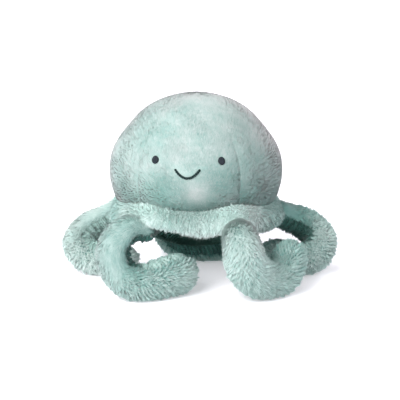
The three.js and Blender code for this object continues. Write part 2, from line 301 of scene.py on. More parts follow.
def spreadOver(surface, count, columns=24, rows=96):
    # rows are chosen by the area above them and columns by the golden ratio, so the points lie evenly
    columnShares = (np.arange(columns) + 0.5) / columns
    rowShares = np.linspace(0, 1, rows)
    u, v = gridOver(columnShares, rowShares)
    across, along = (moved / (2 * slopeStep) for moved in surfaceSteps(surface, u, v))
    area = np.linalg.norm(np.cross(across, along), axis=1).reshape(rows, columns).mean(1)
    summed = np.concatenate([[0], np.cumsum((area[1:] + area[:-1]) / 2)]) / (rows - 1)
    total = summed[-1]
    tufts = max(int(count * total), 1)
    index = np.arange(tufts)
    vShares = np.interp((index + 0.5) / tufts * total, summed, rowShares)
    uShares = (index * golden) % 1
    return uShares, vShares


def growPile(surface, pile, trim=None):
    # a fibre is root + length times (normal and nap, leaning more towards its tip), and its tip is drawn
    # towards its tuft's middle; a quad and a triangle make it, tapering to a point
    rng = np.random.default_rng(pile["seed"])
    perTuft = pile["fibres"]
    uTuft, vTuft = spreadOver(surface, pile["density"] / perTuft / mm ** 2)

    def shaped(key, plain):
        # the pile's own function of u and v under that name, or the plain value
        return pile[key](uTuft, vTuft) if key in pile else plain

    place, normal, nap = surfaceFrame(surface, uTuft, vTuft)
    nap = nap * pile["nap"]
    side = np.cross(normal, nap)
    sway = np.radians(pile["sway"]) * softNoise(place, pile["swayLength"] * mm, pile["seed"])
    sway = sway + np.radians(pile["tuftSway"]) * rng.normal(size=len(place))
    tuftNap = turned(nap, side, sway)
    tuftLength = pile["length"] * mm * (1 + pile["lengthSpread"] * rng.normal(size=len(place)))
    tuftLength = tuftLength * shaped("lengthAt", 1)
    tuftTone = pile["cloud"] * softNoise(place, pile["toneLength"] * mm, pile["seed"] + 1)
    tuftTone = tuftTone + pile["speckle"] * rng.normal(size=len(place))
    # the pile's own tone function adds its tone and the painted light and shade of its place
    tuftTone = tuftTone + shaped("toneAt", 0)
    if trim is not None:
        tuftLength = tuftLength * trim(place)
    lean = np.radians(pile["lean"] + pile["leanSpread"] * rng.normal(size=len(place)))
    lean = lean * shaped("leanAt", 1)
    grown = tuftLength > fibre["stubble"]

    def each(values):
        return np.repeat(values[grown], perTuft, axis=0)

    place, normal, nap, side, tuftNap = (each(vectors) for vectors in (place, normal, nap, side, tuftNap))
    length, lean, tone, uTuft, vTuft = (each(x) for x in (tuftLength, lean, tuftTone, uTuft, vTuft))
    count = len(place)
    angle = rng.uniform(0, 2 * np.pi, count)
    radius = pile["tuftRadius"] * mm * np.sqrt(rng.uniform(0, 1, count))
    pullShare = shaped("pullAt", np.ones(count))
    smoothShare = shaped("smoothAt", np.ones(count))
    pull = (pile["pull"] * pullShare)[:, None]
    puff = (pile["puff"] * mixed(fibre["leastPuff"], 1, pullShare))[:, None]
    smooth = (pile["smoothShade"] * smoothShare)[:, None]
    offset = nap * (radius * np.cos(angle))[:, None] + side * (radius * np.sin(angle))[:, None]
    length = length * rng.uniform(pile["shortest"], 1, count)
    lean = lean + np.radians(pile["frizz"]) * rng.normal(size=count)
    tipLean = lean + np.radians(pile["curl"])
    stray = np.radians(pile["frizz"]) * rng.normal(size=count)
    flow = turned(tuftNap, np.cross(normal, tuftNap), stray)
    lower = turned(normal, flow, lean)
    upper = turned(normal, flow, tipLean)
    upper[:, 2] -= pile["droop"]
    upper = unit(upper)
    root = place + offset - normal * fibre["sunk"]
    middle = root + lower * (0.5 * length)[:, None] - fibre["pullLow"] * pull * offset
    tip = middle + upper * (0.5 * length)[:, None] - fibre["pullHigh"] * pull * offset
    if "floor" in pile:
        for end in (middle, tip):
            end[:, 2] = np.maximum(end[:, 2], pile["floor"] * rng.uniform(*fibre["floorSpread"], count))
    front = normal * (1 - puff) + unit(offset) * puff - flow * fibre["tipped"]
    width = unit(np.cross(lower, front))
    width = width * (pile["width"] / 2 * mm * rng.uniform(*fibre["widths"], count))[:, None]
    waist = fibre["waist"] * width
    points = np.stack([root - width, root + width, middle - waist, middle + waist, tip], 1)
    facing = unit(np.cross(width, lower))
    shade = unit(normal * smooth + facing * (1 - smooth) + fibre["lifted"] * lower)
    clump = unit(offset) * pull
    normals = np.stack([unit(shade + share * clump) for share in fibre["rounding"]], 1)
    first = 5 * np.arange(count)[:, None]
    spot = np.stack([uTuft, vTuft], 1)[:, None, :]
    blade = fibre["mapReach"] * np.array([[-1, -1], [1, -1], [-0.8, 0], [0.8, 0], [0, 1]])
    blades = np.clip(onMap(spot, "pile") + blade, 0.001, 0.999)
    quad = np.array([0, 1, 3, 2])
    cap = np.array([2, 3, 4])
    # painted shade: each fibre is darker at its root and paler at its tip, for the shade deep in the pile
    strandTone = (tone + fibre["toneSpread"] * rng.normal(size=count))[:, None]
    strandTone = strandTone + pile["paintedRootShade"] * np.array(fibre["rise"])
    return {"points": points.reshape(-1, 3), "normals": normals.reshape(-1, 3),
            "faces": [first + quad, first + cap], "places": [blades[:, quad], blades[:, cap]], "slot": 1,
            "tone": strandTone.ravel()}


# Materials


def nodeGroup(name, inputs, outputs):
    group = bpy.data.node_groups.new(name, "ShaderNodeTree")
    for label, kind, value in inputs:
        socket = group.interface.new_socket(label, in_out="INPUT", socket_type=kind)
        if value is not None:
            socket.default_value = value
    for label, kind in outputs:
        group.interface.new_socket(label, in_out="OUTPUT", socket_type=kind)
    return group, group.nodes.new("NodeGroupInput"), group.nodes.new("NodeGroupOutput")


def addNode(tree, kind, **values):
    node = tree.nodes.new(kind)
    for key, value in values.items():
        setattr(node, key, value)
    return node


def linear(red, green, blue):
    share = np.array([red, green, blue]) / 255
    low, high = share / 12.92, ((share + 0.055) / 1.055) ** 2.4
    return (*np.where(share <= 0.04045, low, high), 1.0)


def cloudyToneGroup():
    # two sizes of noise shift the colour between its deep and its pale shade,
    # and the tone attribute adds to it: each tuft's random tone, and the painted light and shade of its place
    group, inward, outward = nodeGroup(
        "cloudyTone",
        [("Vector", "NodeSocketVector", None),
         ("Deep", "NodeSocketColor", None), ("Pale", "NodeSocketColor", None),
         ("Cloud Scale", "NodeSocketFloat", 30.0), ("Fine Scale", "NodeSocketFloat", 140.0),
         ("Tuft Tone And Shade", "NodeSocketFloat", 0.0), ("Tuft Share", "NodeSocketFloat", 0.1)],
        [("Color", "NodeSocketColor"), ("Tone", "NodeSocketFloat")])
    links = group.links
    cloud = addNode(group, "ShaderNodeTexNoise")
    cloud.inputs["Detail"].default_value = 2
    fine = addNode(group, "ShaderNodeTexNoise")
    fine.inputs["Detail"].default_value = 1
    for noise, label in ((cloud, "Cloud Scale"), (fine, "Fine Scale")):
        links.new(inward.outputs["Vector"], noise.inputs["Vector"])
        links.new(inward.outputs[label], noise.inputs["Scale"])
    both = addNode(group, "ShaderNodeMath", operation="MULTIPLY_ADD")
    links.new(fine.outputs["Fac"], both.inputs[0])
    both.inputs[1].default_value = 0.3
    links.new(cloud.outputs["Fac"], both.inputs[2])
    tuft = addNode(group, "ShaderNodeMath", operation="MULTIPLY_ADD")
    links.new(inward.outputs["Tuft Tone And Shade"], tuft.inputs[0])
    links.new(inward.outputs["Tuft Share"], tuft.inputs[1])
    links.new(both.outputs[0], tuft.inputs[2])
    spread = addNode(group, "ShaderNodeMapRange")
    spread.inputs["From Min"].default_value = 0.0
    spread.inputs["From Max"].default_value = 1.3
    links.new(tuft.outputs[0], spread.inputs["Value"])
    mix = addNode(group, "ShaderNodeMix", data_type="RGBA")
    links.new(spread.outputs["Result"], mix.inputs["Factor"])
    links.new(inward.outputs["Deep"], mix.inputs[6])
    links.new(inward.outputs["Pale"], mix.inputs[7])
    links.new(mix.outputs[2], outward.inputs["Color"])
    links.new(spread.outputs["Result"], outward.inputs["Tone"])
    return group


cloudyTone = cloudyToneGroup()


def placeCloudy(tree, look):
    # the shared group on Object coordinates, with a look's own colours and scales
    coordinates = addNode(tree, "ShaderNodeTexCoord")
    cloudy = addNode(tree, "ShaderNodeGroup", node_tree=cloudyTone)
    tree.links.new(coordinates.outputs["Object"], cloudy.inputs["Vector"])
    cloudy.inputs["Deep"].default_value = linear(*look["deep"])
    cloudy.inputs["Pale"].default_value = linear(*look["pale"])
    cloudy.inputs["Cloud Scale"].default_value = look["cloudScale"]
    cloudy.inputs["Fine Scale"].default_value = look["fineScale"]
    return cloudy


def newMaterial(name):
    material = bpy.data.materials.new(name)
    material.use_nodes = True
    return material, material.node_tree.nodes["Principled BSDF"]


def clothMaterial(name, look):
    material, shader = newMaterial(name)
    tree = material.node_tree
    shader.inputs["Roughness"].default_value = look["roughness"]
    shader.inputs["Specular IOR Level"].default_value = look["specular"]
    shader.inputs["Sheen Weight"].default_value = look["sheen"]
    shader.inputs["Sheen Roughness"].default_value = look["sheenRoughness"]
    shader.inputs["Sheen Tint"].default_value = linear(*look["sheenTint"])
    tone = addNode(tree, "ShaderNodeAttribute", attribute_name="tone")
    cloudy = placeCloudy(tree, look)
    tree.links.new(tone.outputs["Fac"], cloudy.inputs["Tuft Tone And Shade"])
    cloudy.inputs["Tuft Share"].default_value = look["tuftShare"]
    tree.links.new(cloudy.outputs["Color"], shader.inputs["Base Color"])
    return material


plushLook = {
    "deep": (120, 164, 156),
    "pale": (206, 210, 208),
    "roughness": 0.9,
    "specular": 0.2,
    "sheen": 0.65,
    "sheenRoughness": 0.5,
    "sheenTint": (255, 234, 240),
    "cloudScale": 28,
    "fineScale": 150,
    "tuftShare": 0.17,
}
limbLook = {**plushLook, "pale": (207, 223, 218), "sheen": 0.4}
# painted shade: the base's plush is deeper, for the shade under the toy
shadedUnderLook = {**plushLook, "deep": (88, 136, 126), "sheen": 0.15}
# painted light and shade: the backing's deep colour darkens the gaps between the arms' clumps, and its pale
# one lifts the gaps in the head's pile
shadedBackingLook = {**plushLook, "deep": (84, 132, 122), "pale": (190, 208, 203), "sheen": 0.0}
# painted shade: the gathered strips' plush is deeper, for the shade in and under their folds
shadedGatheredLook = {**plushLook, "deep": (58, 104, 96), "pale": (168, 202, 194), "sheen": 0.2}
stuffingLook = {**plushLook, "deep": (226, 226, 220), "pale": (246, 246, 242), "sheen": 0.3}

plushPile = clothMaterial("plushPile", plushLook)
limbPile = clothMaterial("limbPile", limbLook)
shadedUnderPile = clothMaterial("shadedUnderPile", shadedUnderLook)
gapShadedBacking = clothMaterial("gapShadedBacking", shadedBackingLook)
shadedGatheredPile = clothMaterial("shadedGatheredPile", shadedGatheredLook)
stuffingFibre = clothMaterial("stuffingFibre", stuffingLook)
print("materials made")


# Floor: one pale surface that curves up behind the toy


def makeFloor(spec):
    # rings round the origin, level to the wall radius and then rising with the square of the way past it
    rings, columns = spec["floorRings"], spec["floorColumns"]
    u, share = gridOver(np.arange(columns) / columns, np.linspace(0, 1, rings + 1))
    turn = fullTurn(u)
    radius = spec["floorRadius"] * share ** 2
    rise = np.maximum(radius - spec["floorWall"], 0) ** 2
    points = np.stack([radius * np.cos(turn), radius * np.sin(turn), rise], 1)
    faces, _ = gridFaces(columns, rings, closed=True)
    mesh = bpy.data.meshes.new("floor")
    quads = faces[columns:].tolist()
    mesh.from_pydata(points.tolist(), [], quads + [list(range(2 * columns - 1, columns - 1, -1))])
    mesh.flip_normals()
    mesh.update()
    mesh.polygons.foreach_set("use_smooth", np.ones(len(mesh.polygons), bool))
    floor = bpy.data.objects.new("floor", mesh)
    bpy.context.scene.collection.objects.link(floor)
    material, shader = newMaterial("paleFloor")
    shader.inputs["Base Color"].default_value = linear(*spec["floorColour"])
    shader.inputs["Roughness"].default_value = spec["floorRoughness"]
    shader.inputs["Emission Color"].default_value = (*spec["glowTint"], 1)
    shader.inputs["Emission Strength"].default_value = spec["floorGlow"]
    mesh.materials.append(material)


makeFloor(studio)
print("floor laid")


# Head: five gores from the crown to the neck


head = {
    "radius": 90 * mm,
    "halfHeight": 79 * mm,
    "skinDepth": 2.6 * mm,     # the backing lies this far below the tips of the pile
    "crownDepth": 1.7 * mm,    # and this far at the crown, where the pile is short
    "cloth": 1.2 * mm,
    "crown": 0.5,              # degrees from the axis where the gores meet
    "neck": 131,
    "shoulderDip": 2.6 * mm,   # the dome is a little flatter between crown and cheeks
    "shoulderPolar": 55,
    "shoulderSpread": 17,
    "seamDip": 2.2 * mm,
    "seamShare": 0.11,
    "gores": ["face", "right_head", "right_rear_head", "left_rear_head", "left_head"],
    "columns": 36,
    "rows": 60,
    "paintedBackingShading": 1.5,           # painted light: the backing is paler than its pile, lifting the shade in the gaps so they don't show
    "tone": -0.8,
    # painted shade: deeper towards the neck, where the head curves under, and along the seams
    "paintedNeckShade": -2.4,
    "paintedSeamShade": -0.6,
    "seamFade": 0.035,         # share of a gore over which the seam's painted shade and shorter pile run out
    "seamShort": 0.2,          # the pile is shorter by this along a seam
    "crownLean": 0.4,          # shares of the pile's lean and length at the crown
    "crownLength": 0.7,
}
headPile = {
    "seed": 11, "nap": -1, "density": 3.6, "fibres": 3, "tuftRadius": 0.9, "length": 4.2,
    "lengthSpread": 0.03, "shortest": 0.88, "lean": 40, "leanSpread": 2, "curl": 6, "droop": 0.05,
    "frizz": 4, "sway": 16, "swayLength": 38, "tuftSway": 3, "pull": 0.0, "width": 0.45, "cloud": 0.3,
    "speckle": 0.7, "toneLength": 9, "smoothShade": 0.92, "puff": 0.4, "paintedRootShade": 0.2,
}


def outward(azimuth):
    return np.stack([np.sin(azimuth), -np.cos(azimuth), np.zeros_like(azimuth)], -1)


def headPoint(azimuth, polar, inset):
    # an ellipsoid of revolution sunk by inset, flattened a little round one polar angle
    fromShoulder = (np.degrees(polar) - head["shoulderPolar"]) / head["shoulderSpread"]
    sunk = inset + head["shoulderDip"] * np.exp(-fromShoulder ** 2)
    level = outward(azimuth) * ((head["radius"] - sunk) * np.sin(polar))[..., None]
    level[..., 2] = (head["halfHeight"] - sunk) * np.cos(polar)
    return headCentre + level


def headNormal(places):
    # an ellipsoid's normal: the way from its middle, with each axis divided by its squared radius
    return unit((places - headCentre) / np.array([head["radius"], head["radius"], head["halfHeight"]]) ** 2)


def azimuthAt(u):
    return np.pi * (1 - 2 * u)


def goreSurface(centre):
    # u runs across the gore from its right seam to its left, v from the crown to the neck; both seams dip
    half = np.pi / len(head["gores"])

    def surface(u, v):
        share = 1 - 2 * u
        polar = np.radians(mixed(head["crown"], head["neck"], v))
        dip = head["seamDip"] * np.exp(-(1 - np.abs(share)) / head["seamShare"]) * smoothStep(0.3, 0.7, v)
        depth = mixed(head["crownDepth"], head["skinDepth"], smoothStep(0.15, 0.6, v))
        return headPoint(centre + share * half, polar, depth + dip)

    return surface


# Face: embroidered eyes and a stitched smile, with the pile cut short round them


face = {
    "eyeHalf": (3.6 * mm, 4.1 * mm),
    "clearEdge": 0.8 * mm,     # ring of the shortest pile round a stitch
    "fade": 5.0 * mm,          # the pile is full from this far on
    "shortest": 0.4,           # share of the pile left beside a stitch
    "mouthAngle": 8.4,
    "mouthEnds": 132 * mm,
    "mouthLow": 123 * mm,
    "mouthThread": 1.2 * mm,
    "mouthSegments": 72,
    "mouthSides": 12,
    "mouthTwists": 16,
    "stitchSink": 1.4 * mm,
    "eyeThreads": 13,
    "eyeRidge": 0.14 * mm,
    "eyeDome": 1.3 * mm,
    "eyeDepth": 4.0 * mm,
    "eyeSink": 0.8 * mm,
    "eyeFront": 0.6,           # share of an eye's surface in front of its rim
    "eyeWall": 0.2,            # and on the wall behind it
    "eyeGrid": (96, 60),
    "mouthBlunt": 24,          # the higher, the blunter the mouth's ends
    "mouthPly": 0.16,
    "patch": (0.42, 0.73),     # a paler patch under the smile, across and down the face
    "patchSpread": (0.12, 0.06),
    "patchTone": 3,
}


def nodeMiddle(node):
    return middleOf(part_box(node))


def mouthLine(count, inset):
    # heights follow a parabola from the low middle to the two ends, at even steps of azimuth
    across = np.linspace(-1, 1, count)
    height = mixed(face["mouthLow"], face["mouthEnds"], across ** 2)
    polar = np.arccos((height - headCentre[2]) / head["halfHeight"])
    return headPoint(np.radians(face["mouthAngle"]) * across, polar, np.full(count, inset))


def faceTrim(places):
    # the pile's length share: none under an eye, short beside a stitch and full beyond its fade
    eyes = np.stack([nodeMiddle("eye_left"), nodeMiddle("eye_right")])
    fromEye = np.linalg.norm(places[:, None] - eyes, axis=2).min(1) - sum(face["eyeHalf"]) / 2
    line = mouthLine(40, head["skinDepth"])
    fromMouth = np.linalg.norm(places[:, None] - line, axis=2).min(1) - face["mouthThread"]
    share = smoothStep(face["clearEdge"], face["fade"], np.minimum(fromEye, fromMouth))
    return np.where(fromEye < 0, 0, mixed(face["shortest"], 1, share))


def atSeam(u, v):
    # 1 on a seam of the head's lower half, fading out close beside it
    return np.exp(-np.minimum(u, 1 - u) / head["seamFade"]) * smoothStep(0.3, 0.7, v)


def goreToneAndShade(u, v):
    # pale over the dome, with painted shade deeper towards the neck, where the head curves under, and along
    # the seam creases
    return head["tone"] + head["paintedNeckShade"] * smoothStep(0.45, 1, v) + head["paintedSeamShade"] * atSeam(u, v)


def faceTone(u, v):
    # as the other gores, with a paler patch under the smile
    (across, down), (wide, tall) = face["patch"], face["patchSpread"]
    patch = np.exp(-((u - across) / wide) ** 2 - ((v - down) / tall) ** 2)
    return goreToneAndShade(u, v) + face["patchTone"] * patch


def goreLean(u, v):
    # the fibres stand up more at the crown, where the gores meet
    return mixed(head["crownLean"], 1, smoothStep(0, 0.15, v))


def goreLength(u, v):
    # shorter at the crown and along the seams
    fromCrown = mixed(head["crownLength"], 1, smoothStep(0.15, 0.6, v))
    return fromCrown * (1 - head["seamShort"] * atSeam(u, v))


def makeHead():
    shaped = {**headPile, "leanAt": goreLean, "lengthAt": goreLength}
    for index, gore in enumerate(head["gores"]):
        surface = goreSurface(index * 2 * np.pi / len(head["gores"]))
        toneAt, trim = (faceTone, faceTrim) if gore == "face" else (goreToneAndShade, None)
        # the backing is painted paler than the pile, lifting the shade between the fibres
        skin = clothShell(surface, head["columns"], head["rows"], head["cloth"],
                          toneAt=lambda u, v: toneAt(u, v) + head["paintedBackingShading"])
        pile = growPile(surface, {**shaped, "toneAt": toneAt, "seed": headPile["seed"] + index}, trim)
        panel = buildPiece(gore + "_panel_plush", [skin, pile], [gapShadedBacking, plushPile])
        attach(panel, "body")
        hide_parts(gore + "_panel")


makeHead()
print("head panels grown")


# Skirt: a padded band round the lower head, with long pile hanging from its hem


skirt = {
    "top": 114.5,              # degrees from the crown, at the sides
    "hem": 131.5,
    "topTilt": 4,              # higher by this in front and lower behind
    "hemTilt": 2,
    "hoodTop": 106,            # over a front arm's root it starts higher
    "gap": -2.4 * mm,          # tucked under the head's pile
    "edge": 1.5 * mm,
    "bulge": 15 * mm,
    "fullness": 1.3,           # over 1 swells below the middle
    "hoodBulge": 22 * mm,
    "hoodFullness": 0.85,
    "hoodSpread": 16,          # degrees either side of the arm
    "hoodHemLift": 5,
    "webLift": 7,              # the hem is drawn up between the front arms
    "webMiddle": -14,
    "webSpread": 20,
    "hoods": {"front_left_arm": 1.0, "front_right_arm": 1.0, "right_arm": 0.2, "left_arm": 0.2,
              "rear_arm": 0.2},
    "outsideShare": 0.6,       # of v, before the skirt turns in under its hem
    "turnIn": 0.25,            # share of the inside over which the hem's thickness runs out
    "pileFrom": -0.01,         # the pile starts just above the outside and runs on past the hem
    "pileReach": 0.62,
    "cloth": 0.5 * mm,
    "columns": 120,
    "rows": 36,
    "lumps": 1.5 * mm,
    "lumpLength": 45 * mm,
    "fringe": (0.75, 0.5),     # the pile's share of its length, and what the hem adds to it
    "ragged": 0.35,
    "raggedLength": 7 * mm,
    "hoodShort": 0.35,         # over a hood the pile is shorter, leans more and is less drawn together
    "hoodLean": 0.3,
    "hoodLoose": 0.7,
    "topLean": -0.35,          # at its top edge it leans up against the head
    # painted light: the band is paler than the head's plush, against the head's shadow over it; painted shade
    # makes it deeper round the sides
    "tone": 1.2,
    "paintedSideShade": -3,
}
skirtPile = {
    "seed": 31, "nap": 1, "density": 2.0, "fibres": 9, "tuftRadius": 1.8, "length": 8.5, "lengthSpread": 0.1,
    "shortest": 0.65, "lean": 38, "leanSpread": 9, "curl": 22, "droop": 0.3, "frizz": 11, "sway": 30,
    "swayLength": 30, "tuftSway": 16, "pull": 0.8, "width": 0.5, "cloud": 0.6, "speckle": 0.5,
    "toneLength": 8, "smoothShade": 0.6, "puff": 0.6, "paintedRootShade": 1.2,
}


def rootOf(name):
    joint = next(joint for joint in frame["joints"] if joint["child"] == name)
    return np.array(joint["pos_m"])


def hoodShare(azimuth):
    # 1 over a front arm's root and less over the others, fading to 0 between the arms
    share = np.zeros_like(azimuth)
    for name, hood in skirt["hoods"].items():
        root = rootOf(name) - headCentre
        turn = np.degrees(azimuth - np.arctan2(root[0], -root[1]))
        turn = (turn + 180) % 360 - 180
        share = share + hood * np.exp(-(turn / skirt["hoodSpread"]) ** 2)
    return np.clip(share, 0, 1)


def skirtSurface(u, v):
    # u runs round the head; v runs down the swollen outside and then back up the flat inside.
    # the swelling is a sine down the outside, skewed towards the hem, and fuller over the arms
    azimuth = azimuthAt(u)
    hood = hoodShare(azimuth)
    outside = skirt["outsideShare"]
    out = np.clip(v / outside, 0, 1)
    back = np.clip((v - outside) / (1 - outside), 0, 1)
    top = skirt["top"] - skirt["topTilt"] * np.cos(azimuth)
    top = mixed(top, skirt["hoodTop"], hood)
    hem = skirt["hem"] - skirt["hemTilt"] * np.cos(azimuth) - skirt["hoodHemLift"] * hood
    fromWeb = (np.degrees(azimuth) - skirt["webMiddle"]) / skirt["webSpread"]
    hem = hem - skirt["webLift"] * np.exp(-fromWeb ** 2)
    polar = np.radians(mixed(top, hem, out - back))
    fullness = mixed(skirt["fullness"], skirt["hoodFullness"], hood)
    bulge = mixed(skirt["bulge"], skirt["hoodBulge"], hood)
    wave = np.sin(np.pi * np.clip(out, 1e-6, 1) ** fullness)
    onHead = headPoint(azimuth, polar, np.zeros_like(azimuth))
    lump = skirt["lumps"] * softNoise(onHead, skirt["lumpLength"], 5)
    swell = skirt["edge"] + (bulge + lump) * wave
    thin = skirt["edge"] * (1 - smoothStep(0, skirt["turnIn"], back))
    offset = skirt["gap"] + np.where(v < outside, swell, thin)
    return headPoint(azimuth, polar, -offset)


def skirtOutside(u, v):
    # only the part that carries pile: the outside, and a little past both of its edges
    return skirtSurface(u, skirt["pileFrom"] + skirt["pileReach"] * v)


def hoodAt(u):
    return hoodShare(azimuthAt(u))


def fringeLength(u, v):
    # long and ragged at the hem between the arms, short where the skirt covers an arm
    ragged = 1 + skirt["ragged"] * softNoise(skirtOutside(u, v), skirt["raggedLength"], 6)
    upper, hem = skirt["fringe"]
    return (upper + hem * smoothStep(0.55, 0.95, v) * ragged) * (1 - skirt["hoodShort"] * hoodAt(u))


def fringeLean(u, v):
    # from leaning up at the top edge to hanging down, more over the arms
    down = mixed(skirt["topLean"], 1, smoothStep(0.02, 0.3, v))
    return down * (1 + skirt["hoodLean"] * hoodAt(u))


def skirtTone(u, v):
    # painted light over the whole band, palest at the hem between the front arms, with painted shade deeper
    # round the sides
    atSide = smoothStep(0.7, 0.95, np.abs(np.sin(azimuthAt(u))))
    return skirt["tone"] + smoothStep(0.5, 0.9, v) * (1 - hoodAt(u)) + skirt["paintedSideShade"] * atSide


def makeSkirt():
    skin = clothShell(skirtSurface, skirt["columns"], skirt["rows"], skirt["cloth"], closed=True)
    shaped = {
        **skirtPile,
        "lengthAt": fringeLength,
        "leanAt": fringeLean,
        "pullAt": lambda u, v: 1 - skirt["hoodLoose"] * hoodAt(u),
        "toneAt": skirtTone,
    }
    pile = growPile(skirtOutside, shaped)
    band = buildPiece("skirt_plush", [skin, pile], [gapShadedBacking, limbPile])
    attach(band, "body")
    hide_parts("skirt")


makeSkirt()
print("skirt grown")


# Base: the dish that closes the head below the neck


# the base's tone is painted shade, for the shade under the toy
base = {"rim": 132, "pole": 179.4, "columns": 72, "rows": 18, "tone": -4}
basePile = {**headPile, "seed": 41, "density": 1.0, "fibres": 8, "length": 6.5, "width": 0.7}


def baseSurface(u, v):
    # u runs round the axis, v from the neck seam to the lowest point
    polar = np.radians(mixed(base["rim"], base["pole"], v))
    return headPoint(azimuthAt(u), polar, np.full_like(polar, head["skinDepth"]))


def paintedBaseShade(u, v):
    # painted shade: the whole base is deep
    return np.full_like(u, base["tone"])


def makeBase():
    skin = clothShell(baseSurface, base["columns"], base["rows"], head["cloth"], closed=True, toneAt=paintedBaseShade)
    pile = growPile(baseSurface, {**basePile, "toneAt": paintedBaseShade})
    dish = buildPiece("base_panel_plush", [skin, pile], [gapShadedBacking, shadedUnderPile])
    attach(dish, "body")
    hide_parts("base_panel")


makeBase()
print("base closed")


# Stuffing: lumpy fibre inside the head and the arms


stuffing = {
    "headDepth": 11 * mm,
    "armDepth": 9.5 * mm,
    "lump": 1.2 * mm,
    "lumpLength": 14 * mm,
    "pole": 1,                 # degrees from the axis where the head's stuffing closes
    "headGrid": (72, 40),
    "armGrid": (18, 70),
}


def closedSurface(surface, columns, rows):
    # a surface closed round u, with a fan over each end of v
    u, v = gridOver(np.arange(columns) / columns, np.linspace(0, 1, rows + 1))
    points, normals, _ = surfaceFrame(surface, u, v)
    faces, shares = gridFaces(columns, rows, closed=True)
    ends = np.stack([points[:columns].mean(0), points[-columns:].mean(0)])
    endNormals = np.stack([normals[:columns].mean(0), normals[-columns:].mean(0)])
    loop = np.arange(columns)
    after = (loop + 1) % columns
    total = len(points)
    last = rows * columns
    fans = np.concatenate([np.stack([after, loop, np.full(columns, total)], 1),
                           np.stack([last + loop, last + after, np.full(columns, total + 1)], 1)])
    fanPlaces = np.zeros((len(fans), 3, 2))
    fanPlaces[:, :, 0] = np.stack([np.tile((loop + 1) / columns, 2), np.tile(loop / columns, 2),
                                   np.tile((loop + 0.5) / columns, 2)], 1)
    fanPlaces[columns:, :, 1] = 1
    fanPlaces[:columns, 2, 1] = 0.01
    fanPlaces[columns:, 2, 1] = 0.99
    return {"points": np.concatenate([points, ends]), "normals": np.concatenate([normals, unit(endNormals)]),
            "faces": [faces, fans], "places": [onMap(shares, "whole"), onMap(fanPlaces, "whole")], "slot": 0,
            "tone": np.zeros(total + 2)}


def fillingInset(u, share):
    # a depth below the arm's surface, with lumps from two crossing sines
    lump = np.sin(2 * np.pi * (3 * u + 5 * share)) * np.sin(2 * np.pi * 9 * share + 1)
    return stuffing["armDepth"] + stuffing["lump"] * lump


def headFillingSurface(u, v):
    # the head's own shape, sunk by the cover's depth and lumpy with soft noise
    polar = np.radians(mixed(stuffing["pole"], 180 - stuffing["pole"], v))
    azimuth = azimuthAt(u)
    inset = np.full_like(polar, stuffing["headDepth"])
    lump = stuffing["lump"] * softNoise(headPoint(azimuth, polar, inset), stuffing["lumpLength"], 9)
    return headPoint(azimuth, polar, inset + lump)


def makeHeadFilling():
    ball = closedSurface(headFillingSurface, *stuffing["headGrid"])
    core = buildPiece("head_filling_fibre", [ball], [stuffingFibre])
    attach(core, "body")
    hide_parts("head_filling")


# Arms: two strips of plush round a curved line, the inner one drawn up into gathers


arm = {
    "rootRadius": 15 * mm,
    "limbRadius": 19 * mm,
    "swellShare": 0.4,
    "plumpShare": 0.2,
    "tipShare": 0.4,           # from here on the limb runs out to its tip's own width
    "capLean": 84,             # degrees round each rounded end
    "skinDepth": 3.0 * mm,
    "cloth": 1.0 * mm,
    "innerHalf": 62,           # degrees either side of the curl's inside
    "seamGap": 2,
    "seamDip": 2.0 * mm,
    "dipFade": 0.04,
    "innerSink": 1.5 * mm,
    "gathers": 11,
    "gatherDepth": 2.4 * mm,
    "fineGathers": 40,
    "fineDepth": 1.3 * mm,
    "outerGrid": (28, 110),
    "innerGrid": (12, 240),
    "paintedBackingShading": -5,            # painted shade: the backing is deeper than the pile, darkening the gaps between clumps
    "limbSkinShare": 0.4,      # share of that painted shade, on the limb
    "paintedSeamShade": 3,             # painted shade: deeper by this beside the gathered strip
    "seamFade": 0.07,
    "toneStops": (0.1, 0.5, 0.95),
    "stripFoot": (0.5, 0.62),  # where the gathered strip's painted shade changes from the limb's to the foot's
    "floorTips": 0.35 * mm,
    "footHeight": 1.2 * mm,    # a foot's cloth lies flat this far above the floor
    "blendFrom": -12 * mm,     # along the bend at the root, where the arm starts to follow its own body
    "blendTo": 14 * mm,
    "blendOut": 0.3,
}
